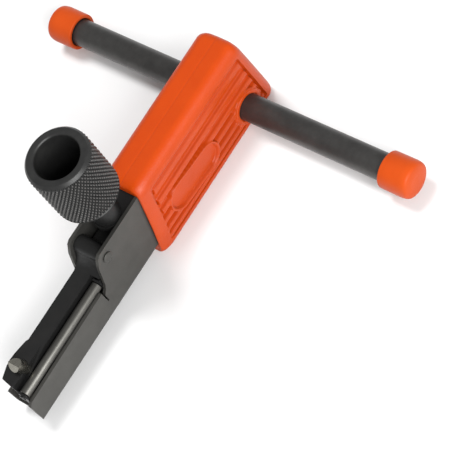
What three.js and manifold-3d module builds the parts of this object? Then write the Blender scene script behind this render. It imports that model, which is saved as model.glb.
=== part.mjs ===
// Hand deburring tool: a sprung swing arm in a steel channel, a knob screw that sets it, and a T-bar handle.
// Millimetres, +Z up. +X is the handle end, the cutting tip points to -X, the bar runs along Y.
import * as THREE from 'three';
import { mergeVertices } from 'three/addons/utils/BufferGeometryUtils.js';
import Module from 'manifold-3d';

const wasm = await Module();
wasm.setup();

const round = 32;
const gap = 0.2;
const bar = { x: 74.4, z: 12, diameter: 12.7, length: 199 };
const cap = { diameter: 17.4, length: 15, bore: 14.2, depth: 12.5, edge: 2.5 };
const grip = {
  halfWidth: 11.5, height: 46, topRound: 5, bottomRound: 3, split: 0.06,
  tipLow: 0.5, tipHigh: 9.6, endLow: 91.4, endHigh: 88.2, endCrown: 2.6,
  pocketHalf: 9.1, pocketLow: 6.3, pocketHigh: 41.9, pocketEnd: 82.9, earLow: 2.2, earStart: 61,
};
const ring = { outer: 16.8, proud: 0.5 };
const pad = { start: 15.7, end: 51.5, z: 17.2, height: 15.4, proud: 0.25, sink: 0.8, rim: 1.2 };
const grooves = [[37.8, 39.2], [30.4, 34.2], [23.8, 26.9], [18, 20.5], [12.4, 14.9], [7.6, 9.7]];
const groove = { depth: 1.1, start: 12, end: 84 };
const sheet = 1.6;
const channel = {
  halfWidth: 8.8, low: 6.6, high: 41.6, bend: 2.2, tip: -88.9, webTip: -87.2, webEnd: 62,
  earEnd: 82.5, earStart: 61.5, earLow: 2.6, nearLip: 23.7, farLip: 16.6,
};
const slit = { x: -31.8, width: 0.8, low: 16.2 };
const pivot = { x: -19.1, z: 35.8, pin: 4.4, hole: 4.8, head: 5.2, headHeight: 0.8 };
const arm = {
  sheet: 1.5, near: -1.7, far: 6.9, low: 20.8, headLow: 22.9, high: 28, start: -27.5,
  barrel: 8.2, barrelHalf: 6.9, tailEnd: 2, tailTop: 32.5, tailHalf: 5,
};
const bit = { x: -75.6, z: 24, y: 2.4, diameter: 6.2, hole: 6.5, lean: 15, above: 10, below: 9.6, roof: 38 };
const block = { start: -81, end: -65.4, low: 14.2, high: 20.6, near: -1.6, far: 6.5 };
const blockScrew = { diameter: 2.4, hole: 2.8, head: 3.9, top: 25.6 };
const roller = { y: -4.65, z: 24.2, diameter: 4.8, bore: 2.4, axle: 2, start: -85.6, end: -29.6 };
const bracket = { near: -7, far: -2.3, high: 26.3, thick: 1, foot: 6, footThick: 1.2, rivet: 1.8 };
const screwAxis = { x: -3.6, diameter: 8, bore: 8.4, low: 36.8, top: 65, tip: 34.3, tipDiameter: 6 };
const bush = { diameter: 13, spigot: 10.6, low: 38.7, seat: 41.15, top: 52 };
const bridge = { half: 7, low: 38.6, high: 41, blockStart: 4.6, blockLow: 34.4, end: 28, hole: 11 };
const bridgePin = { diameter: 3, hole: 3.4, half: 8.7, z: 37.4, xs: [13.5, 23.5] };
const knob = { low: 60.8, top: 94.2, diameter: 30, bore: 20.4, floor: 66, chamfer: 1.6 };
const knobScrew = { z: 63.4, diameter: 3, hole: 3.4, start: 4.2, end: 13.6 };
const foot = { low: 32.8, top: 36.6, radius: 5, socket: 3.2, socketLow: 34.1 };
const spring = { x: -5.5, low: 8.4, top: 31.1, radius: 3.4, wire: 1.1, turns: 5.5 };
const post = { diameter: 4.6, top: 18, spigot: 3, hole: 3.4, head: 4.6, headLow: 5.4 };
const gripScrews = [{ x: 17, z: 17 }, { x: 38, z: 34 }, { x: 61, z: 30.5 }];
const gripBoss = { diameter: 8.6, hole: 9.2, shank: 3, pilot: 3.6, head: 5.6, headBore: 6.2, seat: 8.2,
  depth: 7.5 };
const rollPin = { diameter: 4, hole: 4.4, low: 3.2, high: 21 };
const saddle = { start: 66.5, end: 82, low: 2.4, high: 24, half: 6.9, bore: 13.1 };

const paint = {
  black: { color: 0x3a3733, roughness: 0.42, metalness: 0.85 },
  steel: { color: 0xb9b4aa, roughness: 0.3, metalness: 0.95 },
  dark: { color: 0x2b2a28, roughness: 0.5, metalness: 0.8 },
  bar: { color: 0x4a4946, roughness: 0.38, metalness: 0.85 },
  orange: { color: 0xe0501a, roughness: 0.5, metalness: 0 },
  cutter: { color: 0xb9a06a, roughness: 0.28, metalness: 0.95 },
};

function toSolid(geometry) {
  const bare = geometry.clone();
  bare.deleteAttribute('normal');
  bare.deleteAttribute('uv');
  const welded = mergeVertices(bare, 1e-4);
  return new wasm.Manifold(new wasm.Mesh({
    numProp: 3,
    vertProperties: new Float32Array(welded.attributes.position.array),
    triVerts: new Uint32Array(welded.index.array),
  }));
}

function toGeometry(solid) {
  const mesh = solid.getMesh();
  const geometry = new THREE.BufferGeometry();
  geometry.setAttribute('position', new THREE.BufferAttribute(mesh.vertProperties, 3));
  geometry.setIndex(new THREE.BufferAttribute(mesh.triVerts, 1));
  geometry.computeVertexNormals();
  return geometry;
}

function join(...parts) {
  return parts.reduce((whole, part) => whole.add(part));
}

function cut(body, ...tools) {
  return tools.reduce((whole, tool) => whole.subtract(tool), body);
}

function box(x, y, z) {
  const geometry = new THREE.BoxGeometry(x[1] - x[0], y[1] - y[0], z[1] - z[0]);
  return toSolid(geometry.translate((x[0] + x[1]) / 2, (y[0] + y[1]) / 2, (z[0] + z[1]) / 2));
}

// A round bar along one axis, from start to end, its other two coordinates in centre.
function rod(axis, diameter, start, end, centre, sides = round) {
  const geometry = new THREE.CylinderGeometry(diameter / 2, diameter / 2, end - start, sides);
  const middle = (start + end) / 2;
  if (axis === 'x') {
    return toSolid(geometry.rotateZ(-Math.PI / 2).translate(middle, centre[0], centre[1]));
  }
  if (axis === 'y') {
    return toSolid(geometry.translate(centre[0], middle, centre[1]));
  }
  return toSolid(geometry.rotateX(Math.PI / 2).translate(centre[0], centre[1], middle));
}

// A turned piece about a vertical axis at x, its profile given as [radius, z] pairs.
function turned(profile, x, sides = round) {
  const points = profile.map(([r, z]) => new THREE.Vector2(r, z));
  return toSolid(new THREE.LatheGeometry(points, sides).rotateX(Math.PI / 2).translate(x, 0, 0));
}

// A flat plate whose outline is drawn in x and z, filling y from near to far.
function plate(outline, near, far) {
  const shape = new THREE.Shape(outline.map(([x, z]) => new THREE.Vector2(x, z)));
  const geometry = new THREE.ExtrudeGeometry(shape, { depth: far - near, bevelEnabled: false });
  return toSolid(geometry.rotateX(Math.PI / 2).translate(0, far, 0));
}

// A bar along x whose section is drawn in y and z.
function beam(shape, start, end) {
  const geometry = new THREE.ExtrudeGeometry(shape, { depth: end - start, bevelEnabled: false,
    curveSegments: 5 });
  geometry.rotateX(Math.PI / 2).rotateZ(Math.PI / 2);
  return toSolid(geometry.translate(start, 0, 0));
}

function outlineOf(points) {
  return new THREE.Shape(points.map(([a, b]) => new THREE.Vector2(a, b)));
}

function roundedBottom(half, low, high, radius) {
  const shape = new THREE.Shape();
  shape.moveTo(-half, high);
  shape.lineTo(-half, low + radius);
  shape.quadraticCurveTo(-half, low, -half + radius, low);
  shape.lineTo(half - radius, low);
  shape.quadraticCurveTo(half, low, half, low + radius);
  shape.lineTo(half, high);
  return shape;
}

const earFront = [[-31.1, 21.1], [-29.6, 22.7], [-28.2, 25.1], [-26.9, 30.3], [-25.4, 36.1],
  [-23, 40.5], [-20.6, 42]];

function makeChannel() {
  const { halfWidth, low, high, bend, tip, webTip, webEnd } = channel;
  const inner = halfWidth - sheet;
  const outer = beam(roundedBottom(halfWidth, low, high, bend), tip, webEnd);
  const hollow = beam(roundedBottom(inner, low + sheet, high + 5, bend - sheet), tip - 5, webEnd + 5);
  const ear = [[channel.earStart - 6, 10], [channel.earStart, channel.earLow],
    [channel.earEnd - 2, channel.earLow],
    [channel.earEnd, channel.earLow + 2], [channel.earEnd, high - 2], [channel.earEnd - 2, high],
    [channel.earStart - 6, high]];
  const ears = join(plate(ear, -halfWidth, -inner), plate(ear, inner, halfWidth));
  const above = (points) => [[tip - 6, high + 9], ...points, ...earFront, [-20.6, high + 9]];
  const nearAbove = above([[tip - 6, 20.9], [tip, 20.9], [tip + 1.9, channel.nearLip - 0.9],
    [slit.x - slit.width / 2, channel.nearLip], [slit.x - slit.width / 2, slit.low],
    [slit.x + slit.width / 2, slit.low], [slit.x + slit.width / 2, 20.4]]);
  const farAbove = above([[tip - 6, channel.farLip], [-31.6, channel.farLip]]);
  let body = join(cut(outer, hollow), ears);
  body = cut(body, plate(nearAbove, -halfWidth - 3, 0), plate(farAbove, 0, halfWidth + 3));
  body = cut(body, box([tip - 5, webTip], [-inner, halfWidth + 5], [low - 5, high]));
  body = cut(body, rod('y', pivot.hole, -12, 12, [pivot.x, pivot.z]));
  body = cut(body, rod('y', saddle.bore, -12, 12, [bar.x, bar.z]));
  body = cut(body, rod('z', post.hole, low - 2, low + sheet + 2, [spring.x, 0], 16));
  for (const x of bridgePin.xs) {
    body = cut(body, rod('y', bridgePin.hole, -12, 12, [x, bridgePin.z], 16));
  }
  for (const { x, z } of gripScrews) {
    body = cut(body, rod('y', gripBoss.hole, -12, 12, [x, z], 20));
  }
  for (const x of bracketRivets()) {
    body = cut(body, rod('z', bracket.rivet + 2 * gap, low - 2, low + sheet + 2, [x, roller.y], 14));
  }
  return body;
}

function bracketRivets() {
  return [roller.start + 3.4, roller.end - 3.4];
}

function gripBlock(start, end) {
  const { halfWidth, height, topRound, bottomRound } = grip;
  const shape = new THREE.Shape();
  shape.moveTo(-halfWidth, bottomRound);
  shape.quadraticCurveTo(-halfWidth, 0, -halfWidth + bottomRound, 0);
  shape.lineTo(halfWidth - bottomRound, 0);
  shape.quadraticCurveTo(halfWidth, 0, halfWidth, bottomRound);
  shape.lineTo(halfWidth, height - topRound);
  shape.quadraticCurveTo(halfWidth, height, halfWidth - topRound, height);
  shape.lineTo(-halfWidth + topRound, height);
  shape.quadraticCurveTo(-halfWidth, height, -halfWidth, height - topRound);
  return beam(shape, start, end);
}

// The block's ends: the tip end slopes back towards the top, the handle end leans and has rounded corners.
function gripEnds() {
  const { halfWidth, tipLow, tipHigh, endLow, endHigh, endCrown, height } = grip;
  const tip = plate([[tipLow - 20, -5], [tipLow, -5], [tipHigh, height + 5],
    [tipLow - 20, height + 5]], -20, 20);
  const curve = [];
  for (let step = 0; step <= 10; step += 1) {
    const y = -1 + step / 5;
    curve.push([endLow - endCrown * y ** 6, y * halfWidth]);
  }
  const shape = outlineOf([...curve, [endLow + 20, halfWidth + 3], [endLow + 20, -halfWidth - 3]]);
  const geometry = new THREE.ExtrudeGeometry(shape, { depth: height + 10, bevelEnabled: false });
  const slope = plate([[endLow, -1], [endLow, 0], [endHigh, height], [endHigh, height + 5],
    [endLow + 20, height + 5], [endLow + 20, -1]], -20, 20);
  return [tip, slope, toSolid(geometry.translate(0, 0, -5))];
}

function padOutline(grow) {
  const radius = pad.height / 2 + grow;
  const shape = new THREE.Shape();
  shape.absarc(pad.start + pad.height / 2, pad.z, radius, Math.PI / 2, 1.5 * Math.PI);
  shape.absarc(pad.end - pad.height / 2, pad.z, radius, -Math.PI / 2, Math.PI / 2);
  return shape;
}

function padSolid(grow, side, start, end) {
  const geometry = new THREE.ExtrudeGeometry(padOutline(grow), {
    depth: end - start, bevelEnabled: false, curveSegments: 7,
  });
  geometry.rotateX(Math.PI / 2);
  return toSolid(geometry.translate(0, side > 0 ? end : -start, 0));
}

function makeGripHalf(side) {
  const { halfWidth, pocketHalf, pocketLow, pocketHigh, pocketEnd, earLow, earStart, split, height } = grip;
  let body = cut(gripBlock(-3, 95), ...gripEnds());
  body = cut(body, box([-10, pocketEnd], [-pocketHalf, pocketHalf], [pocketLow, pocketHigh]));
  body = cut(body, box([earStart - 7, pocketEnd], [-pocketHalf, pocketHalf], [earLow, pocketHigh]));
  body = join(body, box([saddle.start, saddle.end + 2], [-saddle.half, saddle.half],
    [earLow - 0.5, saddle.high]));
  for (const [low, high] of grooves) {
    const slots = box([groove.start, groove.end], [halfWidth - groove.depth, halfWidth + 3], [low, high]);
    body = cut(body, slots, slots.mirror([0, 1, 0]));
  }
  for (const way of [-1, 1]) {
    body = join(body, padSolid(pad.rim, way, pocketHalf + 0.6, halfWidth + pad.proud));
    body = cut(body, padSolid(0, way, halfWidth - pad.sink, halfWidth + 4));
  }
  body = join(body, rod('y', ring.outer, pocketHalf + 0.6, halfWidth + ring.proud, [bar.x, bar.z]));
  body = join(body, rod('y', ring.outer, -halfWidth - ring.proud, -pocketHalf - 0.6, [bar.x, bar.z]));
  for (const { x, z } of gripScrews) {
    body = join(body, rod('y', gripBoss.diameter, -pocketHalf - 0.4, pocketHalf + 0.4, [x, z], 20));
    body = cut(body, rod('y', gripBoss.pilot, -gripBoss.depth, halfWidth, [x, z], 12));
    body = cut(body, rod('y', gripBoss.headBore, gripBoss.seat, halfWidth + 2, [x, z], 16));
  }
  body = cut(body, rod('y', saddle.bore, -20, 20, [bar.x, bar.z]));
  body = cut(body, rod('z', rollPin.hole, rollPin.low - 0.4, rollPin.high + 0.4, [bar.x, 0], 16));
  const away = side > 0 ? [-30, split] : [-split, 30];
  return cut(body, box([-20, 110], away, [-5, height + 5]));
}

function makeGripScrew({ x, z }) {
  const head = rod('y', gripBoss.head, gripBoss.seat + gap, gripBoss.seat + 2.4, [x, z], 16);
  const shank = rod('y', gripBoss.shank, -gripBoss.depth + 0.6, gripBoss.seat + 1, [x, z], 12);
  const slot = box([x - 2.2, x + 2.2], [gripBoss.seat + 1.6, gripBoss.seat + 4], [z - 0.4, z + 0.4]);
  return cut(join(head, shank), slot);
}

function makeBar() {
  const body = rod('y', bar.diameter, -bar.length / 2, bar.length / 2, [bar.x, bar.z]);
  return cut(body, rod('z', rollPin.hole, -5, 30, [bar.x, 0], 16));
}

function makeCap(side) {
  const { diameter, length, bore, depth, edge } = cap;
  const outer = diameter / 2;
  const inner = bore / 2;
  const points = [[0, 0.25 + length], [outer - edge, length - 0.1],
    [outer - edge * 0.3, length - edge * 0.3],
    [outer, length - edge], [outer, 0], [inner, 0], [inner, depth], [0, depth]];
  const lathe = new THREE.LatheGeometry(points.map(([r, y]) => new THREE.Vector2(r, y)).reverse(), round);
  const far = bar.length / 2 + 3 - length - 0.25;
  lathe.translate(0, far, 0);
  if (side < 0) {
    lathe.rotateX(Math.PI);
  }
  return toSolid(lathe.translate(bar.x, 0, bar.z));
}

function makeRollPin() {
  return rod('z', rollPin.diameter, rollPin.low, rollPin.high, [bar.x, 0], 16);
}

function makePivot() {
  const { x, z, pin, head, headHeight } = pivot;
  const face = channel.halfWidth + gap;
  return join(rod('y', pin, -face - headHeight, face + headHeight, [x, z], 20),
    rod('y', head, -face - headHeight, -face, [x, z], 20), rod('y', head, face, face + headHeight,
    [x, z], 20));
}

function alongBit(diameter, below, above, sides) {
  const geometry = new THREE.CylinderGeometry(diameter / 2, diameter / 2, above + below, sides);
  geometry.rotateX(Math.PI / 2).translate(0, 0, (above - below) / 2);
  geometry.rotateY(THREE.MathUtils.degToRad(-bit.lean));
  return toSolid(geometry.translate(bit.x, bit.y, bit.z));
}

// The arm: a flat bar that widens round the bit, a neck up to the pivot eye, and a tail behind it.
function makeArm() {
  const { near, far, low, headLow, high, start, barrelHalf, tailEnd, tailTop, tailHalf } = arm;
  const bar = [[start, near], [start, far], [-64.9, far], [-85, far], [-85.9, 2], [-86.3, near]];
  const head = [[-60, far - 3], [-64.9, far], [-66, 7.6], [-69.2, 8.2], [-72.6, 8.8], [-76, 9.1], [-79, 8.8],
    [-84.3, 7.2], [-85, far], [-85.6, 3.9]];
  const upright = (points, bottom) => toSolid(new THREE.ExtrudeGeometry(outlineOf(points), {
    depth: high - bottom, bevelEnabled: false,
  }).translate(0, 0, bottom));
  const front = [[-23.2, 36], [-24.6, 32.2], [-26.4, 29.9], [-28, 28.8]];
  const neck = plate([...front, [-29.5, high], [-29.5, low], [-26.5, low], [-24, 26], [-20.5, 32.2]],
    near, far);
  const shoulder = plate([...front, [-27.6, 28.3], [-23, 30], [-20.5, 32.2]], -barrelHalf, barrelHalf);
  const tail = plate([[-21, 33.4], [-16.6, tailTop], [tailEnd, tailTop], [tailEnd, tailTop - arm.sheet],
    [-19, tailTop - arm.sheet]], -tailHalf, tailHalf);
  const barrel = rod('y', arm.barrel, -barrelHalf, barrelHalf, [pivot.x, pivot.z]);
  const body = join(upright(bar, low), upright(head, headLow), neck, shoulder, tail, barrel);
  const slant = plate([[-64.7, high + 3], [-64.7, high], [-88, high - 6], [-88, high + 3]], near - 2,
    near + 1.6);
  return cut(body, slant, rod('y', pivot.hole, -12, 12, [pivot.x, pivot.z]), alongBit(bit.hole, 12, 12, 32),
    rod('z', blockScrew.hole, low - 2, blockScrew.top + 0.4, [blockScrewX(), bit.y], 16));
}

function blockScrewX() {
  return block.end - 2.1;
}

function makeBit() {
  const top = bit.above;
  const roofs = [-1, 1].map((way) => {
    const geometry = new THREE.BoxGeometry(40, 40, 20).translate(0, 0, 10);
    geometry.rotateY(THREE.MathUtils.degToRad(way * bit.roof)).translate(0, 0, top);
    geometry.rotateY(THREE.MathUtils.degToRad(-bit.lean));
    return toSolid(geometry.translate(bit.x, bit.y, bit.z));
  });
  return cut(alongBit(bit.diameter, bit.below, top + 3, 32), ...roofs,
    box([-100, -60], [-9, 9], [0, block.low + 0.3]), box([-100, -60], [-9, 9], [33.9, 50]));
}

function makeBlock() {
  const body = box([block.start, block.end], [block.near, block.far], [block.low, block.high]);
  return cut(body, alongBit(bit.hole, 14, 8, 32), rod('x', 3.4, block.start - 2, bit.x, [bit.y, 17], 24),
    rod('z', blockScrew.hole, 5, 25, [blockScrewX(), bit.y], 16));
}

function makeBlockScrew() {
  const centre = [blockScrewX(), bit.y];
  const head = rod('z', blockScrew.head, block.low - gap - 1.2, block.low - gap, centre, 16);
  const slot = box([centre[0] - 2, centre[0] + 2], [bit.y - 0.3, bit.y + 0.3],
    [block.low - 2, block.low - gap - 0.7]);
  return cut(join(head, rod('z', blockScrew.diameter, block.low - 1, blockScrew.top, centre, 16)), slot);
}

function makeBitScrew() {
  const end = bit.x - bit.hole / 2 + 1.5;
  const body = rod('x', 3, block.start + 0.4, end - 0.6, [bit.y, 17], 24);
  return cut(body, rod('x', 1.5, block.start - 1, block.start + 1.6, [bit.y, 17], 6));
}

function rivet(x, y, low, high) {
  return join(rod('z', bracket.rivet, low - 0.7, high + 0.7, [x, y], 14),
    rod('z', bracket.rivet + 1.2, low - 0.7, low, [x, y], 14),
    rod('z', bracket.rivet + 1.2, high, high + 0.7, [x, y], 14));
}

function makeBracket(faceX, way) {
  const { near, far, high, thick, foot: length, footThick } = bracket;
  const floor = channel.low + sheet + gap;
  const back = [faceX, faceX - way * thick].sort((a, b) => a - b);
  const base = [faceX - way * thick, faceX + way * length].sort((a, b) => a - b);
  const body = join(box(back, [near, far], [floor, high]), box(base, [near, far],
    [floor, floor + footThick]));
  return cut(body, rod('x', roller.axle + 2 * gap, -100, 0, [roller.y, roller.z], 16),
    rod('z', bracket.rivet + 2 * gap, 0, 15, [faceX + way * 3.7, roller.y], 14));
}

function makeAxle() {
  const start = roller.start - 2;
  const end = roller.end + 2;
  const centre = [roller.y, roller.z];
  return join(rod('x', roller.axle, start, end, centre, 16), rod('x', 3.2, start, start + 0.5, centre, 16),
    rod('x', 3.2, end - 0.5, end, centre, 16));
}

function makeRoller() {
  const centre = [roller.y, roller.z];
  return cut(rod('x', roller.diameter, roller.start, roller.end, centre, 32),
    rod('x', roller.bore, roller.start - 2, roller.end + 2, centre, 16));
}

function makeBridge() {
  const { half, low, high, blockStart, blockLow, end, hole } = bridge;
  const nose = rod('z', 2 * half, low, high, [screwAxis.x, 0]);
  const strap = box([screwAxis.x, end], [-half, half], [low, high]);
  const base = box([blockStart, end], [-half, half], [blockLow, high]);
  const pins = bridgePin.xs.map((x) => rod('y', bridgePin.hole, -12, 12, [x, bridgePin.z], 16));
  return cut(join(nose, strap, base), rod('z', hole, low - 2, high + 2, [screwAxis.x, 0]), ...pins);
}

function makeBush() {
  const { diameter, spigot, low, seat, top } = bush;
  const inner = screwAxis.bore / 2;
  return turned([[inner, low], [spigot / 2, low], [spigot / 2, seat], [diameter / 2, seat],
    [diameter / 2, top - 0.8], [diameter / 2 - 0.8, top], [inner, top], [inner, low]], screwAxis.x);
}

function makeScrew() {
  const { diameter, low, top, tip, tipDiameter } = screwAxis;
  const body = turned([[0, tip], [tipDiameter / 2 - 0.6, tip], [tipDiameter / 2, tip + 0.6],
    [tipDiameter / 2, low], [diameter / 2, low], [diameter / 2, top - 0.6], [diameter / 2 - 0.6, top],
    [0, top]],
  screwAxis.x);
  return cut(body, box([-20, 10], [diameter / 2 - 0.6, 9], [knobScrew.z - 2.2, top + 2]));
}

function makeKnob() {
  const { low, top, diameter, bore, floor, chamfer } = knob;
  const outer = diameter / 2;
  const inner = screwAxis.bore / 2;
  const body = turned([[inner, low], [outer - chamfer, low], [outer, low + chamfer], [outer, top - chamfer],
    [outer - chamfer, top], [bore / 2 + 0.6, top], [bore / 2, top - 0.6], [bore / 2, floor], [inner, floor],
    [inner, low]], screwAxis.x, 48);
  return cut(body, rod('y', knobScrew.hole, 0, 20, [screwAxis.x, knobScrew.z], 24));
}

function makeKnobScrew() {
  const body = rod('y', knobScrew.diameter, knobScrew.start, knobScrew.end, [screwAxis.x, knobScrew.z], 24);
  return cut(body, rod('y', 1.5, knobScrew.end - 1.6, knobScrew.end + 1, [screwAxis.x, knobScrew.z], 6));
}

function makeFoot() {
  const { low, top, radius, socket, socketLow } = foot;
  return turned([[0, low], [1.4, low + 0.06], [2.8, low + 0.5], [4.2, low + 1.3], [radius, low + 2.2],
    [radius, top], [socket, top], [socket, socketLow], [0, socketLow]], screwAxis.x);
}

function makeSpring() {
  const { x, low, top, radius, wire, turns } = spring;
  const points = [];
  const perTurn = 12;
  const total = turns * perTurn;
  for (let step = 0; step <= total; step += 1) {
    const angle = (step / perTurn) * 2 * Math.PI;
    const part = THREE.MathUtils.smoothstep(step, 0, total) * 0.25 + (step / total) * 0.75;
    const z = low + wire / 2 + (top - low - wire) * part;
    points.push(new THREE.Vector3(radius * Math.cos(angle), radius * Math.sin(angle), z));
  }
  const path = new THREE.CatmullRomCurve3(points);
  const shape = new THREE.Shape();
  shape.absarc(0, 0, wire / 2, 0, 2 * Math.PI);
  const geometry = new THREE.ExtrudeGeometry(shape, {
    steps: total, extrudePath: path, bevelEnabled: false, curveSegments: 3,
  });
  return toSolid(geometry.translate(x, 0, 0));
}

function makePost() {
  const floor = channel.low + sheet + gap;
  const { diameter, top, spigot, head, headLow } = post;
  return turned([[0, headLow], [head / 2, headLow], [head / 2, channel.low - gap],
    [spigot / 2, channel.low - gap],
    [spigot / 2, floor], [diameter / 2, floor], [diameter / 2, top - 1], [diameter / 2 - 1, top], [0, top]],
  spring.x, 20);
}

function node(name, solid, finish) {
  const mesh = new THREE.Mesh(toGeometry(solid), new THREE.MeshStandardMaterial(paint[finish]));
  mesh.name = name;
  return mesh;
}

const [tipRivet, rearRivet] = bracketRivets();
const floorTop = channel.low + sheet + gap + bracket.footThick + gap;
const tool = new THREE.Group();
tool.name = 'deburring_tool';
tool.position.x = -(channel.tip + grip.endLow) / 2;
tool.add(
  node('channel', makeChannel(), 'black'),
  node('grip_near_half', makeGripHalf(-1), 'orange'),
  node('grip_far_half', makeGripHalf(1), 'orange'),
  ...gripScrews.map((place, index) => node(`grip_screw_${index + 1}`, makeGripScrew(place), 'steel')),
  node('tee_bar', makeBar(), 'bar'),
  node('end_cap_near', makeCap(-1), 'orange'),
  node('end_cap_far', makeCap(1), 'orange'),
  node('bar_roll_pin', makeRollPin(), 'steel'),
  node('pivot_rivet', makePivot(), 'black'),
  node('swing_arm', makeArm(), 'dark'),
  node('cutting_bit', makeBit(), 'cutter'),
  node('bit_clamp_block', makeBlock(), 'dark'),
  node('bit_set_screw', makeBitScrew(), 'steel'),
  node('block_screw', makeBlockScrew(), 'steel'),
  node('guide_roller', makeRoller(), 'steel'),
  node('roller_axle', makeAxle(), 'steel'),
  node('roller_bracket_tip', makeBracket(roller.start - 0.3, 1), 'dark'),
  node('roller_bracket_rear', makeBracket(roller.end + 0.3, -1), 'dark'),
  node('bracket_rivet_tip', rivet(tipRivet, roller.y, channel.low - gap, floorTop), 'steel'),
  node('bracket_rivet_rear', rivet(rearRivet, roller.y, channel.low - gap, floorTop), 'steel'),
  node('bridge_plate', makeBridge(), 'dark'),
  node('bridge_pin_front', rod('y', bridgePin.diameter, -bridgePin.half, bridgePin.half,
    [bridgePin.xs[0], bridgePin.z], 16), 'steel'),
  node('bridge_pin_rear', rod('y', bridgePin.diameter, -bridgePin.half, bridgePin.half,
    [bridgePin.xs[1], bridgePin.z], 16), 'steel'),
  node('threaded_bush', makeBush(), 'dark'),
  node('adjusting_screw', makeScrew(), 'dark'),
  node('knob', makeKnob(), 'black'),
  node('knob_set_screw', makeKnobScrew(), 'steel'),
  node('thrust_foot', makeFoot(), 'steel'),
  node('return_spring', makeSpring(), 'steel'),
  node('spring_post', makePost(), 'dark'),
);

export default tool;
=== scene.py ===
import bpy
import bmesh
import math
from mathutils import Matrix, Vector


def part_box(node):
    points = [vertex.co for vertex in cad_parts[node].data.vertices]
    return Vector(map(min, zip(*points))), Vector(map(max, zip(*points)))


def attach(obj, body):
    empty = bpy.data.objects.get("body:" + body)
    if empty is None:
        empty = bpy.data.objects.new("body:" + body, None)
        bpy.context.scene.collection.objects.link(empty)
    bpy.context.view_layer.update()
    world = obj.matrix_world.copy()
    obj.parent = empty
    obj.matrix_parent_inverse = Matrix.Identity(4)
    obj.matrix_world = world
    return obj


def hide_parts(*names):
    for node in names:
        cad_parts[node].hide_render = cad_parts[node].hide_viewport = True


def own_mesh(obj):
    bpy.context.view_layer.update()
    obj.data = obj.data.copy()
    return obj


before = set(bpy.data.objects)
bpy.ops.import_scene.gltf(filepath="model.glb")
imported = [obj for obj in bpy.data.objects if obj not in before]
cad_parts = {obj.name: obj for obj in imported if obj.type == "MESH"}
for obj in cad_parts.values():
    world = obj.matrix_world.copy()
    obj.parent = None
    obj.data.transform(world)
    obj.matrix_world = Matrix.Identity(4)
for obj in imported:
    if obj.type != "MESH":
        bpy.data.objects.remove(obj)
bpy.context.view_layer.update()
mm = 0.001
print("frame loaded")


def clamp(value, low=0.0, high=1.0):
    return max(low, min(high, value))


def smooth(low, high, value):
    t = clamp((value - low) / (high - low))
    return t * t * (3 - 2 * t)


def mix(a, b, t):
    return a + (b - a) * t


# Makes a shaded object from points in millimetres.
def meshObject(name, verts, faces, material, angle=35):
    mesh = bpy.data.meshes.new(name)
    mesh.from_pydata([Vector(v) * mm for v in verts], [], faces)
    work = bmesh.new()
    work.from_mesh(mesh)
    bmesh.ops.remove_doubles(work, verts=work.verts, dist=0.001 * mm)
    bmesh.ops.recalc_face_normals(work, faces=work.faces)
    work.to_mesh(mesh)
    work.free()
    obj = bpy.data.objects.new(name, mesh)
    bpy.context.collection.objects.link(obj)
    mesh.materials.append(material)
    shadeSmooth(obj, angle)
    return obj


def shadeSmooth(obj, angle):
    for face in obj.data.polygons:
        face.use_smooth = True
    obj.data.set_sharp_from_angle(angle=math.radians(angle))


def gridFaces(rows, columns, closed):
    faces = []
    last = columns if closed else columns - 1
    for row in range(rows - 1):
        for column in range(last):
            a = row * columns + column
            b = row * columns + (column + 1) % columns
            faces.append((a, b, b + columns, a + columns))
    return faces


def place(obj, body, slotName, *nodes):
    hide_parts(*nodes)
    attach(obj, body)
    return obj


# A turned piece: profile holds [radius, along] pairs, axis is the way that along runs.
def turned(name, profile, axis, centre, material, segments=96):
    verts = []
    for radius, along in profile:
        for step in range(segments):
            angle = 2 * math.pi * step / segments
            a, b = radius * math.cos(angle), radius * math.sin(angle)
            local = {"x": (along, a, b), "y": (a, along, b), "z": (a, b, along)}[axis]
            verts.append(tuple(c + o for c, o in zip(centre, local)))
    return meshObject(name, verts, gridFaces(len(profile), segments, True), material)


# Rounds the inner corners of an open profile.
def roundedProfile(points, radius, steps=4):
    result = [points[0]]
    for before, corner, after in zip(points, points[1:], points[2:]):
        here = Vector(corner)
        back, ahead = Vector(before) - here, Vector(after) - here
        reach = min(radius, back.length * 0.45, ahead.length * 0.45)
        start, end = here + back.normalized() * reach, here + ahead.normalized() * reach
        for step in range(steps + 1):
            t = step / steps
            point = start * (1 - t) ** 2 + here * 2 * t * (1 - t) + end * t * t
            result.append(tuple(point))
    result.append(points[-1])
    return result


# A copy of a CAD node with its flat faces made whole and its edges broken.
def softened(node, material, body, slotName, edge=0.2, segments=2, angle=32):
    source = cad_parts[node]
    mesh = source.data.copy()
    mesh.name = "soft_" + node
    work = bmesh.new()
    work.from_mesh(mesh)
    bmesh.ops.remove_doubles(work, verts=work.verts, dist=0.002 * mm)
    bmesh.ops.dissolve_limit(work, angle_limit=math.radians(0.6), verts=work.verts, edges=work.edges)
    work.to_mesh(mesh)
    work.free()
    mesh.materials.clear()
    mesh.materials.append(material)
    obj = bpy.data.objects.new("soft_" + node, mesh)
    bpy.context.collection.objects.link(obj)
    bevel = obj.modifiers.new("edge", "BEVEL")
    bevel.width = edge * mm
    bevel.segments = segments
    bevel.limit_method = "ANGLE"
    bevel.angle_limit = math.radians(angle)
    bevel.harden_normals = True
    shadeSmooth(obj, 30)
    return place(obj, body, slotName, node)


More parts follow.
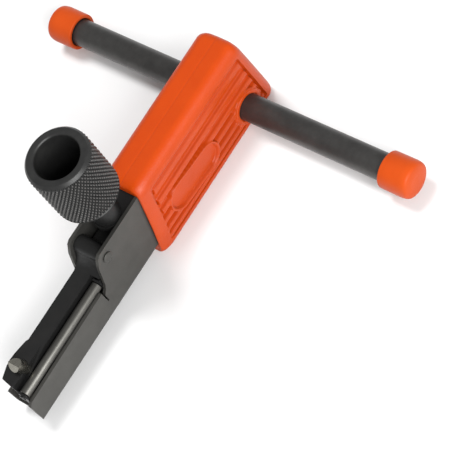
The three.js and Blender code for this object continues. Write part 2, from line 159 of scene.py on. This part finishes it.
# Adds shader nodes to one material and links them.
class Nodes:

    def __init__(self, name):
        self.material = bpy.data.materials.new(name)
        self.material.use_nodes = True
        self.tree = self.material.node_tree
        self.shader = self.tree.nodes["Principled BSDF"]
        self.place = self.add("ShaderNodeTexCoord").outputs["Object"]

    def add(self, kind, **values):
        node = self.tree.nodes.new(kind)
        for key, value in values.items():
            setattr(node, key, value)
        return node

    def link(self, output, socket):
        self.tree.links.new(output, socket)

    def stretched(self, scale):
        node = self.add("ShaderNodeMapping")
        node.inputs["Scale"].default_value = scale
        self.link(self.place, node.inputs["Vector"])
        return node.outputs["Vector"]

    def noise(self, scale, detail=4, roughness=0.55, vector=None):
        node = self.add("ShaderNodeTexNoise")
        node.inputs["Scale"].default_value = scale
        node.inputs["Detail"].default_value = detail
        node.inputs["Roughness"].default_value = roughness
        self.link(vector or self.place, node.inputs["Vector"])
        return node.outputs["Fac"]

    def span(self, value, fromLow, fromHigh, toLow, toHigh):
        node = self.add("ShaderNodeMapRange")
        limits = {"From Min": fromLow, "From Max": fromHigh, "To Min": toLow, "To Max": toHigh}
        for key, number in limits.items():
            node.inputs[key].default_value = number
        self.link(value, node.inputs["Value"])
        return node.outputs["Result"]

    def blend(self, factor, first, second):
        node = self.add("ShaderNodeMix", data_type="RGBA")
        for socket, value in ((node.inputs[6], first), (node.inputs[7], second)):
            if isinstance(value, tuple):
                socket.default_value = (*value, 1)
            else:
                self.link(value, socket)
        self.link(factor, node.inputs[0])
        return node.outputs[2]

    def bump(self, height, distance, strength=1.0, normal=None):
        node = self.add("ShaderNodeBump")
        node.inputs["Distance"].default_value = distance * mm
        node.inputs["Strength"].default_value = strength
        self.link(height, node.inputs["Height"])
        if normal is not None:
            self.link(normal, node.inputs["Normal"])
        return node.outputs["Normal"]

    def edges(self, low, high):
        node = self.add("ShaderNodeNewGeometry")
        return self.span(node.outputs["Pointiness"], low, high, 0, 1)


# Moulded plastic: a fine spark-eroded grain, slight mottling and a soft sheen.
def mouldedPlastic(name, looks):
    nodes = Nodes(name)
    broad = nodes.span(nodes.noise(55, 3), 0.35, 0.65, 0, 1)
    colour = nodes.blend(broad, looks["colour"], looks["shade"])
    nodes.link(colour, nodes.shader.inputs["Base Color"])
    grain = nodes.noise(looks["grainScale"], 3, 0.6)
    rough = nodes.span(grain, 0.3, 0.7, looks["rough"] - 0.08, looks["rough"] + 0.08)
    nodes.link(rough, nodes.shader.inputs["Roughness"])
    low = nodes.bump(nodes.noise(260, 2), 0.05, 0.35)
    nodes.link(nodes.bump(grain, looks["grainDepth"], 0.8, low), nodes.shader.inputs["Normal"])
    nodes.shader.inputs["Specular IOR Level"].default_value = looks["sheen"]
    nodes.shader.inputs["Subsurface Weight"].default_value = 0.04
    nodes.shader.inputs["Subsurface Radius"].default_value = (0.004, 0.0015, 0.0006)
    nodes.shader.inputs["Subsurface Scale"].default_value = 0.3
    return nodes.material


# Oxide-finished or bare steel: mottled tone, rubbed edges, a drawn or tumbled grain, and on a knurl painted
# shade in the grooves with rubbed points.
def steel(name, looks):
    nodes = Nodes(name)
    blotch = nodes.span(nodes.noise(looks.get("blotchScale", 140), 5, 0.6), 0.32, 0.68, 0, 1)
    colour = nodes.blend(blotch, looks["colour"], looks["shade"])
    if "wear" in looks:
        rubbed = nodes.edges(0.52, 0.62)
        patchy = nodes.span(nodes.noise(420, 3), 0.4, 0.62, 0.15, 1)
        wear = nodes.add("ShaderNodeMath", operation="MULTIPLY")
        nodes.link(rubbed, wear.inputs[0])
        nodes.link(patchy, wear.inputs[1])
        part = nodes.add("ShaderNodeMath", operation="MULTIPLY")
        part.inputs[1].default_value = looks["wear"]
        nodes.link(wear.outputs[0], part.inputs[0])
        colour = nodes.blend(part.outputs[0], colour, looks["bare"])
    # Painted shade: low points of the knurl height attribute are darkened as shade in the grooves; high
    # points are rubbed to bare metal.
    if "groove" in looks:
        height = nodes.add("ShaderNodeAttribute", attribute_name="height")
        rubbed = nodes.span(height.outputs["Fac"], 0.55, 1.0, 0, 1)
        colour = nodes.blend(nodes.span(height.outputs["Fac"], 0.0, 0.5, 0, 1), looks["groove"], colour)
        colour = nodes.blend(rubbed, colour, looks["bare"])
    nodes.link(colour, nodes.shader.inputs["Base Color"])
    grain = nodes.noise(looks["grainScale"], 4, 0.65, nodes.stretched(looks["grainWay"]))
    rough = nodes.span(grain, 0.3, 0.7, looks["rough"] - looks["spread"], looks["rough"] + looks["spread"])
    nodes.link(rough, nodes.shader.inputs["Roughness"])
    nodes.shader.inputs["Specular IOR Level"].default_value = looks["sheen"]
    nodes.shader.inputs["Metallic"].default_value = looks["metal"]
    low = nodes.bump(nodes.noise(looks.get("pitScale", 700), 3, 0.6), looks.get("pitDepth", 0.02), 0.5)
    nodes.link(nodes.bump(grain, looks["grainDepth"], 0.6, low), nodes.shader.inputs["Normal"])
    return nodes.material


gripLooks = {
    "colour": (0.46, 0.047, 0.001), "shade": (0.425, 0.042, 0.001), "rough": 0.4,
    "grainScale": 1500, "grainDepth": 0.12, "sheen": 0.3,
}
capLooks = {
    "colour": (0.48, 0.060, 0.006), "shade": (0.44, 0.053, 0.005), "rough": 0.45,
    "grainScale": 1800, "grainDepth": 0.03, "sheen": 0.18,
}
barLooks = {
    "colour": (0.085, 0.083, 0.080), "shade": (0.062, 0.060, 0.058), "bare": (0.2, 0.2, 0.19), "wear": 0.2,
    "rough": 0.42, "metal": 0.75, "grainScale": 1400, "grainWay": (1, 1, 1), "grainDepth": 0.012,
    "spread": 0.05, "sheen": 0.5,
}
channelLooks = {
    "colour": (0.074, 0.072, 0.066), "shade": (0.062, 0.060, 0.055),
    "rough": 0.46, "metal": 0.6, "grainScale": 1600, "grainWay": (0.6, 1, 1), "grainDepth": 0.005,
    "pitDepth": 0.004, "spread": 0.02, "sheen": 0.5,
}
armLooks = {
    "colour": (0.012, 0.0118, 0.0115), "shade": (0.009, 0.009, 0.009),
    "rough": 0.46, "metal": 0.1, "grainScale": 1600, "grainWay": (0.6, 1, 1), "grainDepth": 0.005,
    "pitDepth": 0.004, "spread": 0.03, "sheen": 0.3,
}
knobLooks = {
    "colour": (0.034, 0.034, 0.033), "shade": (0.022, 0.022, 0.022), "bare": (0.13, 0.125, 0.12),
    # painted shade colour for the knurl grooves
    "groove": (0.004, 0.004, 0.004),
    "rough": 0.40, "metal": 0.4, "grainScale": 1500, "grainWay": (1, 1, 1), "grainDepth": 0.008,
    "spread": 0.05, "sheen": 0.4,
}
rollerLooks = {
    "colour": (0.15, 0.146, 0.134), "shade": (0.115, 0.112, 0.103),
    "rough": 0.44, "metal": 0.9, "grainScale": 1100, "grainWay": (0.15, 1, 1), "grainDepth": 0.006,
    "spread": 0.05, "sheen": 0.5,
}
brightLooks = {
    "colour": (0.50, 0.48, 0.44), "shade": (0.38, 0.36, 0.33), "bare": (0.62, 0.60, 0.56), "wear": 0.3,
    "rough": 0.27, "metal": 0.95, "grainScale": 1100, "grainWay": (0.15, 1, 1), "grainDepth": 0.010,
    "spread": 0.06, "sheen": 0.5,
}
cutterLooks = {
    "colour": (0.33, 0.32, 0.28), "shade": (0.22, 0.21, 0.18),
    "rough": 0.25, "metal": 0.95, "grainScale": 1300, "grainWay": (1, 1, 0.25), "grainDepth": 0.012,
    "spread": 0.06, "sheen": 0.5,
}
gripPlastic = mouldedPlastic("grip_plastic", gripLooks)
capPlastic = mouldedPlastic("cap_plastic", capLooks)
barSteel = steel("bar_steel", barLooks)
channelSteel = steel("channel_steel", channelLooks)
armSteel = steel("arm_steel", armLooks)
knobSteel = steel("knob_steel", knobLooks)
rollerSteel = steel("roller_steel", rollerLooks)
brightSteel = steel("bright_steel", brightLooks)
cutterSteel = steel("cutter_steel", cutterLooks)
print("materials made")


gripLow, gripHigh = (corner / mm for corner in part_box("grip_near_half"))
barLow, barHigh = (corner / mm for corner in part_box("tee_bar"))
barX, barZ = (barLow.x + barHigh.x) / 2, (barLow.z + barHigh.z) / 2
barRadius = (barHigh.x - barLow.x) / 2

grip = {
    "halfWidth": 11.5, "height": gripHigh.z, "topRound": 5.6, "bottomRound": 3.0, "crown": 0.5, "seam": 0.12,
    "tipLow": barX - 73.9, "tipSlope": 0.182, "endLow": barX + 17.0, "endSlope": -0.07,
    "tipRoundLong": 7.5, "tipRoundDeep": 1.9, "endRoundLong": 4.4, "endRoundDeep": 3.8, "endBulge": 0.3,
    "mouthHalf": 9.1, "mouthLow": 6.3, "mouthHigh": 41.9, "mouthDepth": 9, "mouthRound": 0.25,
    "step": 0.3, "sideStep": 0.24,
}
ribs = {
    "centres": (36.0, 28.6, 22.1, 16.4, 11.0, 6.3), "halfWidths": (1.75, 1.7, 1.6, 1.45, 1.3, 1.2),
    "depthHigh": 1.3, "depthLow": 2.05, "top": 39.3, "bottom": 4.4,
    "tipX": barX - 66.2, "tipSlope": 0.215, "endX": barX + 11.2, "endSlope": -0.068, "ringClear": 9.3,
}
pad = {
    "tip": (barX - 50.0, 18.0), "tipRadius": 8.2, "end": (barX - 30.2, 16.2), "endRadius": 8.0,
    "rim": 1.3, "sink": 1.25, "proud": 0.4,
}


# How far a point is outside the rounded, tapering outline of the pad.
def padDistance(x, z):
    a, b, p = Vector(pad["tip"]), Vector(pad["end"]), Vector((x, z))
    along = clamp((p - a).dot(b - a) / (b - a).length_squared)
    return (p - a.lerp(b, along)).length - mix(pad["tipRadius"], pad["endRadius"], along)


# How far the side of the grip stands out at a point, below zero where it is sunk.
def sideHeight(x, z):
    deep = mix(ribs["depthHigh"], ribs["depthLow"], smooth(39, 24, z))
    fromTip = x - ribs["tipX"] - ribs["tipSlope"] * (z - 7)
    fromEnd = ribs["endX"] + ribs["endSlope"] * (z - 5) - x
    inside = smooth(-0.15, 0.25, min(fromTip, fromEnd)) * smooth(ribs["top"] + 1.2, ribs["top"] - 1.6, z)
    inside *= smooth(ribs["bottom"] - 0.2, ribs["bottom"] + 0.25, z)
    lift = 0.0
    for centre, half in zip(ribs["centres"], ribs["halfWidths"]):
        off = abs(z - centre) / half
        if off < 1.3:
            bead = smooth(1.22, 0.72, off) * (1 - 0.12 * off * off)
            ends = smooth(0.35, 0.75, fromTip) * smooth(0.75, 1.15, fromEnd)
            lift = max(lift, bead * ends)
    height = -deep * inside * (1 - lift)
    ringOff = math.hypot(x - barX, z - barZ)
    height *= smooth(ribs["ringClear"] - 0.3, ribs["ringClear"] + 0.2, ringOff)
    away = padDistance(x, z)
    if away < 0.6:
        rim = pad["proud"] * smooth(-pad["rim"], -pad["rim"] * 0.6, away)
        floor = -pad["sink"] * smooth(-pad["rim"] + 0.15, -pad["rim"] - 0.45, away)
        height = mix(rim + floor, height, smooth(-0.1, 0.3, away))
    return height


# Half the outline in y and z, from the parting line on top round to the bottom, with outward normals.
def gripSection():
    half, height, crown = grip["halfWidth"], grip["height"], grip["crown"]
    top, bottom = grip["topRound"], grip["bottomRound"]
    points = []
    for y in (0.0, 0.15, 0.4, 1.2, 2.4, 3.6, 4.8):
        points.append((y, height, 0.0, 1.0))
    for step in range(13):
        angle = math.pi / 2 * step / 13
        points.append((half - top + top * math.sin(angle), height - top + top * math.cos(angle),
                       math.sin(angle), math.cos(angle)))
    sideTop, sideBottom = height - top, bottom
    count = round((sideTop - sideBottom) / grip["sideStep"])
    for step in range(count + 1):
        points.append((half, mix(sideTop, sideBottom, step / count), 1.0, 0.0))
    for step in range(1, 9):
        angle = math.pi / 2 * step / 8
        points.append((half - bottom + bottom * math.cos(angle), bottom - bottom * math.sin(angle),
                       math.cos(angle), -math.sin(angle)))
    for step in range(1, 8):
        points.append((mix(half - bottom, 0.0, step / 7), 0.0, 0.0, -1.0))
    crowned = []
    for y, z, outY, outZ in points:
        pull = crown * (2 * z / height - 1) ** 2 * y / half
        seam = grip["seam"] * smooth(0.4, 0.0, y) * outZ
        crowned.append((y - pull, z - seam, outY, outZ))
    return crowned


def gripEndX(y, z):
    return grip["endLow"] + grip["endSlope"] * z - grip["endBulge"] * (y / grip["halfWidth"]) ** 2


# The point of the mouth in the tip face that faces a point of the outline.
def mouthPoint(y, z):
    return min(y, grip["mouthHalf"]), clamp(z, grip["mouthLow"], grip["mouthHigh"])


# One half of the grip as rows of its outline, from inside the mouth, over the skin, to the handle end.
def makeGripHalf(side, node):
    section = gripSection()
    stations = []
    for step in range(11):
        angle = math.pi / 2 * step / 10
        stations.append(("tip", grip["tipRoundLong"] * (1 - math.cos(angle)),
                         grip["tipRoundDeep"] * (1 - math.sin(angle))))
    span = grip["endLow"] - grip["tipLow"] - grip["tipRoundLong"] - grip["endRoundLong"]
    count = round(span / grip["step"])
    for step in range(1, count):
        stations.append(("body", step / count, 0.0))
    for step in range(11):
        angle = math.pi / 2 * step / 10
        stations.append(("end", grip["endRoundLong"] * (1 - math.sin(angle)),
                         grip["endRoundDeep"] * (1 - math.cos(angle))))
    verts = []
    for depth in (1.0, 0.0):
        for y, z, _, _ in section:
            inY, inZ = mouthPoint(y, z)
            x = grip["tipLow"] + grip["tipSlope"] * inZ + grip["mouthRound"] + depth * grip["mouthDepth"]
            verts.append((x, side * inY, inZ))
    for kind, along, inset in stations:
        for y, z, outY, _ in section:
            tipX = grip["tipLow"] + grip["tipSlope"] * z
            endX = gripEndX(y, z)
            if kind == "tip":
                x = tipX + along
            elif kind == "end":
                x = endX - along
            else:
                x = mix(tipX + grip["tipRoundLong"], endX - grip["endRoundLong"], along)
            middle = grip["height"] / 2
            wide = y * (1 - inset / grip["halfWidth"])
            tall = middle + (z - middle) * (1 - inset / middle)
            if outY > 0.97:
                wide += sideHeight(x, z)
            verts.append((x, side * wide, tall))
    rings = 7
    last = verts[-len(section):]
    for ring in range(1, rings + 1):
        shrink = 1 - ring / rings
        for x, y, z in last:
            inY = abs(y) * shrink
            inZ = grip["height"] / 2 + (z - grip["height"] / 2) * shrink
            verts.append((gripEndX(inY, inZ) - (gripEndX(abs(y), z) - x) * shrink, side * inY, inZ))
    rows = 2 + len(stations) + rings
    obj = meshObject(node + "_shell", verts, gridFaces(rows, len(section), False), gripPlastic, 60)
    return place(obj, "frame", "grip", node)


collar = {"clear": 0.32, "radius": 8.4, "proud": 0.5, "sunk": 3, "flare": 0.5, "edge": 0.45}


# The raised collar round the bar, moulded with the grip.
def makeRing(side):
    face = grip["halfWidth"]
    inner, outer = barRadius + collar["clear"], collar["radius"]
    profile = [(inner, face - collar["sunk"]), (inner, face + collar["proud"]),
               (outer, face + collar["proud"] * 0.9), (outer + collar["flare"], face - collar["sunk"] / 2)]
    profile = roundedProfile(profile, collar["edge"])
    profile = [(radius, side * along) for radius, along in profile]
    name = "grip_collar_near" if side < 0 else "grip_collar_far"
    obj = turned(name, profile, "y", (barX, 0, barZ), gripPlastic)
    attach(obj, "frame")


makeGripHalf(-1, "grip_near_half")
makeGripHalf(1, "grip_far_half")
makeRing(-1)
makeRing(1)
print("grip made")


def makeBar():
    half = barHigh.y
    profile = [(0.01, -half), (barRadius, -half), (barRadius, half), (0.01, half)]
    obj = turned("tee_bar_stock", roundedProfile(profile, 0.8), "y", (barX, 0, barZ), barSteel, 128)
    place(obj, "frame", "bar", "tee_bar")


cap = {"wall": 2.0, "floor": 3, "mouth": 0.8, "edgeLong": 3.4, "edgeDeep": 3.4, "crown": 0.15, "round": 1.3}


def makeCap(side, node):
    low, high = (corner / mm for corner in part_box(node))
    outer = (high.x - low.x) / 2
    inner = outer - cap["wall"]
    outEnd, inEnd = (high.y, low.y) if side > 0 else (-low.y, -high.y)
    floor = outEnd - cap["floor"]
    inside = [(0.01, floor), (inner - 0.6, floor), (inner, inEnd + cap["mouth"]), (inner + 0.3, inEnd)]
    outside = [(outer - 0.1, inEnd), (outer, outEnd - cap["edgeLong"]), (outer - 0.55, outEnd - 1.0),
               (outer - cap["edgeDeep"], outEnd - cap["crown"]), (0.01, outEnd)]
    profile = roundedProfile(inside + outside, cap["round"], 5)
    profile = [(radius, side * along) for radius, along in profile]
    obj = turned(node + "_moulded", profile, "y", (barX, 0, barZ), capPlastic, 128)
    place(obj, "frame", "cap", node)


makeBar()
makeCap(-1, "end_cap_near")
makeCap(1, "end_cap_far")
print("bar and caps made")


knobLow, knobHigh = (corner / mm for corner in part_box("knob"))
screwX = (knobLow.x + knobHigh.x) / 2
knob = {
    "teeth": 54, "perTooth": 10, "depth": 0.8, "rimBand": 1.9, "chamfer": 1.5, "bore": 10.2, "floor": 66.0,
    "rise": 0.17, "rimTone": 0.52,
}


# Height of the crossed knurl from 0 in a groove to 1 on a point; turn and along are in teeth.
def knurl(turn, along):
    first = abs(2 * ((turn + along) % 1.0) - 1)
    second = abs(2 * ((turn - along) % 1.0) - 1)
    return min(1.0, 1.25 * min(first, second))


def makeKnob():
    outer = (knobHigh.x - knobLow.x) / 2
    low, high = knobLow.z, knobHigh.z
    toothWide = 2 * math.pi * outer / knob["teeth"]
    columns = knob["teeth"] * knob["perTooth"]
    start, end = low + knob["rimBand"], high - knob["rimBand"]
    count = round((end - start) / knob["rise"])
    rows = []
    under = [(4.3, low), (outer - knob["chamfer"] - 0.3, low), (outer - 0.35, low + knob["chamfer"])]
    rows += [(radius, z, 0.0) for radius, z in roundedProfile(under, 0.5)[1:]]
    for step in range(count + 1):
        z = mix(start, end, step / count)
        fade = smooth(start, start + 0.5, z) * smooth(end, end - 0.5, z)
        rows.append((outer, z, fade))
    over = [(outer - 0.35, high - knob["chamfer"]), (outer - knob["chamfer"], high),
            (knob["bore"] + 0.7, high), (knob["bore"], high - 0.8), (knob["bore"], knob["floor"]),
            (0.01, knob["floor"])]
    rows += [(radius, z, 0.0) for radius, z in [over[0]] + roundedProfile(over, 0.45, 5)[1:]]
    verts = []
    for radius, z, amount in rows:
        for column in range(columns):
            angle = 2 * math.pi * column / columns
            reach = radius
            if amount > 0 or radius == outer:
                height = knurl(column / knob["perTooth"], (z - low) / toothWide * 0.577)
                reach = radius - knob["depth"] * (1 - height * amount)
            verts.append((screwX + reach * math.cos(angle), reach * math.sin(angle), z))
    faces = gridFaces(len(rows), columns, True)
    obj = meshObject("knob_knurled", verts, faces, knobSteel, 50)
    # The height attribute drives the painted shade in the knurl grooves and the rubbed wear on the knurl
    # points; the rims take the plain tone.
    height = obj.data.attributes.new("height", "FLOAT", "POINT")
    for vert, entry in zip(obj.data.vertices, height.data):
        reach = math.hypot(vert.co.x / mm - screwX, vert.co.y / mm)
        knurled = start < vert.co.z / mm < end and reach > outer - knob["depth"] - 0.01
        entry.value = 1 - (outer - reach) / knob["depth"] if knurled else knob["rimTone"]
    place(obj, "knob", "knob", "knob")


# A turned thread: a sharp spiral ridge drawn out along the shank.
def threaded(name, radius, low, high, pitch, deep, centre, material, segments=72):
    rows = round((high - low) / pitch * 12)
    verts = []
    for row in range(rows + 1):
        z = mix(low, high, row / rows)
        fade = smooth(high, high - pitch, z)
        for step in range(segments):
            angle = 2 * math.pi * step / segments
            wave = abs(2 * ((z / pitch - step / segments) % 1.0) - 1)
            reach = radius - deep * wave * fade
            verts.append((centre[0] + reach * math.cos(angle), centre[1] + reach * math.sin(angle), z))
    top = len(verts)
    faces = gridFaces(rows + 1, segments, True)
    verts += [(centre[0], centre[1], low), (centre[0], centre[1], high)]
    for step in range(segments):
        after = (step + 1) % segments
        faces.append((top, after, step))
        base = rows * segments
        faces.append((top + 1, base + step, base + after))
    return meshObject(name, verts, faces, material, 40)


def makeScrewParts():
    low, high = (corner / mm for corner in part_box("adjusting_screw"))
    screw = threaded("screw_thread", 4.0, low.z + 2.6, high.z, 1.25, 0.55, (screwX, 0), armSteel)
    place(screw, "knob", "arm", "adjusting_screw")
    profile = [(0.01, low.z), (2.95, low.z), (2.95, low.z + 2.7)]
    journal = turned("screw_journal", roundedProfile(profile, 0.5), "z", (screwX, 0, 0), brightSteel, 48)
    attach(journal, "knob")
    low, high = (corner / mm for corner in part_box("threaded_bush"))
    outer = (high.x - low.x) / 2
    profile = [(4.15, high.z - 9), (4.15, high.z), (outer, high.z), (outer, low.z + 2.45),
               (5.3, low.z + 2.4), (5.3, low.z), (4.2, low.z)]
    bush = turned("bush_boss", roundedProfile(profile, 0.7), "z", (screwX, 0, 0), armSteel)
    place(bush, "frame", "arm", "threaded_bush")


makeKnob()
makeScrewParts()
print("knob and screw made")


softened("channel", channelSteel, "frame", "channel", 0.22, 3)
softened("swing_arm", armSteel, "arm", "arm", 0.2, 2)
softened("bridge_plate", armSteel, "frame", "arm", 0.25, 2)
softened("bit_clamp_block", armSteel, "arm", "arm", 0.3, 2)
softened("cutting_bit", cutterSteel, "arm", "cutter", 0.05, 1)
softened("roller_bracket_tip", armSteel, "frame", "arm", 0.15, 2)
softened("roller_bracket_rear", armSteel, "frame", "arm", 0.15, 2)


def makeRoller():
    low, high = (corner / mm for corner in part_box("guide_roller"))
    centre = (0, (low.y + high.y) / 2, (low.z + high.z) / 2)
    radius = (high.z - low.z) / 2
    profile = [(1.2, low.x), (radius, low.x), (radius, high.x), (1.2, high.x)]
    roller = turned("guide_roller_ground", roundedProfile(profile, 0.35), "x", centre, rollerSteel)
    place(roller, "roller", "bright_steel", "guide_roller")


def makePivot():
    low, high = (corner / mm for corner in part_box("pivot_rivet"))
    centre = ((low.x + high.x) / 2, 0, (low.z + high.z) / 2)
    radius = (high.x - low.x) / 2
    shank = 2.2
    profile = [(0.01, low.y + 0.1), (radius * 0.6, low.y), (radius, low.y + 0.45), (radius, low.y + 0.8),
               (shank, low.y + 0.8), (shank, high.y - 0.8), (radius, high.y - 0.8), (radius, high.y - 0.45),
               (radius * 0.6, high.y), (0.01, high.y - 0.1)]
    pivot = turned("pivot_rivet_headed", roundedProfile(profile, 0.25), "y", centre, channelSteel)
    place(pivot, "frame", "channel", "pivot_rivet")


spring = {
    "wire": 1.1, "coils": 7.5, "closed": 1.0, "closedPitch": 1.122, "facets": 10, "perTurn": 28,
    "pressed": 0.89,
}


# A wire coil with closed ends.
def makeSpring():
    low, high = (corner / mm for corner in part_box("return_spring"))
    centreX, centreY = (low.x + high.x) / 2, (low.y + high.y) / 2
    thick = spring["wire"] / 2
    radius = (high.x - low.x) / 2 - thick
    start, end = low.z + thick + 0.05, high.z - thick - 0.05
    rise = spring["closedPitch"] * spring["closed"]
    rows = round(spring["coils"] * spring["perTurn"])
    verts = []
    for row in range(rows + 1):
        turn = spring["coils"] * row / rows
        opened = clamp((turn - spring["closed"]) / (spring["coils"] - 2 * spring["closed"]))
        first = min(turn, spring["closed"]) * spring["closedPitch"]
        last = max(0.0, turn - spring["coils"] + spring["closed"]) * spring["closedPitch"]
        middle = start + first + opened * (end - start - 2 * rise) + last
        angle = 2 * math.pi * turn
        for step in range(spring["facets"]):
            lean = 2 * math.pi * step / spring["facets"]
            reach = radius + thick * math.cos(lean)
            x, y = centreX + reach * math.cos(angle), centreY + reach * math.sin(angle)
            verts.append((x, y, middle + thick * math.sin(lean)))
    faces = gridFaces(rows + 1, spring["facets"], True)
    faces.append(tuple(range(spring["facets"])))
    faces.append(tuple(rows * spring["facets"] + step for step in reversed(range(spring["facets"]))))
    coil = meshObject("return_spring_coil", verts, faces, brightSteel, 60)
    place(coil, "frame", "bright_steel", "return_spring")
    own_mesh(coil)


makeRoller()
makePivot()
makeSpring()


# The small hardware keeps its CAD shape and takes one of two finishes.
hardware = {
    brightSteel: ("grip_screw_1", "grip_screw_2", "grip_screw_3", "bar_roll_pin", "bit_set_screw",
                  "block_screw", "bridge_pin_front", "bridge_pin_rear", "knob_set_screw", "thrust_foot"),
    armSteel: ("roller_axle", "bracket_rivet_tip", "bracket_rivet_rear", "spring_post"),
}
for material, nodeNames in hardware.items():
    for node in nodeNames:
        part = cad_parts[node]
        part.data.materials.clear()
        part.data.materials.append(material)
print("steel pieces made")


view = {"place": (-0.17179, -0.51677, 0.80186), "turn": (27.1755, 20.0507, -55.4542), "lens": 176.0}
light = {
    "sky": 0.40, "key": 15.5, "keyFrom": (0.17, 0.32, 1.38), "keySize": 0.45,
    "fill": 20.0, "fillFrom": (-0.3, -1.0, 0.7), "fillSize": 0.8, "floor": (0.78, 0.78, 0.78),
}


def makeCamera():
    data = bpy.data.cameras.new("camera")
    data.lens = view["lens"]
    data.sensor_width = 36
    data.clip_start = 0.01
    camera = bpy.data.objects.new("camera", data)
    camera.location = view["place"]
    camera.rotation_euler = [math.radians(angle) for angle in view["turn"]]
    bpy.context.collection.objects.link(camera)
    bpy.context.scene.camera = camera
    bpy.context.scene.view_settings.view_transform = "Standard"


def makeFloor():
    half = 3.0
    mesh = bpy.data.meshes.new("floor")
    corners = [(-half, -half, 0), (half, -half, 0), (half, half, 0), (-half, half, 0)]
    mesh.from_pydata(corners, [], [(0, 1, 2, 3)])
    floor = bpy.data.objects.new("floor", mesh)
    bpy.context.collection.objects.link(floor)
    nodes = Nodes("floor_paper")
    faint = nodes.span(nodes.noise(30, 3), 0.4, 0.6, 0, 1)
    colour = nodes.blend(faint, light["floor"], tuple(value * 0.995 for value in light["floor"]))
    nodes.link(colour, nodes.shader.inputs["Base Color"])
    nodes.shader.inputs["Roughness"].default_value = 0.9
    nodes.shader.inputs["Specular IOR Level"].default_value = 0.1
    mesh.materials.append(nodes.material)


def softBox(name, power, place, size, shine=True, target=(0, 0, 0.02)):
    data = bpy.data.lights.new(name, "AREA")
    data.energy = power
    data.size = size
    lamp = bpy.data.objects.new(name, data)
    lamp.location = place
    lamp.rotation_euler = (Vector(place) - Vector(target)).to_track_quat("Z", "Y").to_euler()
    lamp.visible_glossy = shine
    bpy.context.collection.objects.link(lamp)


def makeLight():
    world = bpy.data.worlds.new("studio")
    bpy.context.scene.world = world
    world.use_nodes = True
    world.node_tree.nodes["Background"].inputs["Color"].default_value = (1, 1, 1, 1)
    world.node_tree.nodes["Background"].inputs["Strength"].default_value = light["sky"]
    softBox("key", light["key"], light["keyFrom"], light["keySize"], False)
    softBox("fill", light["fill"], light["fillFrom"], light["fillSize"])


makeCamera()
makeFloor()
makeLight()
print("scene ready")
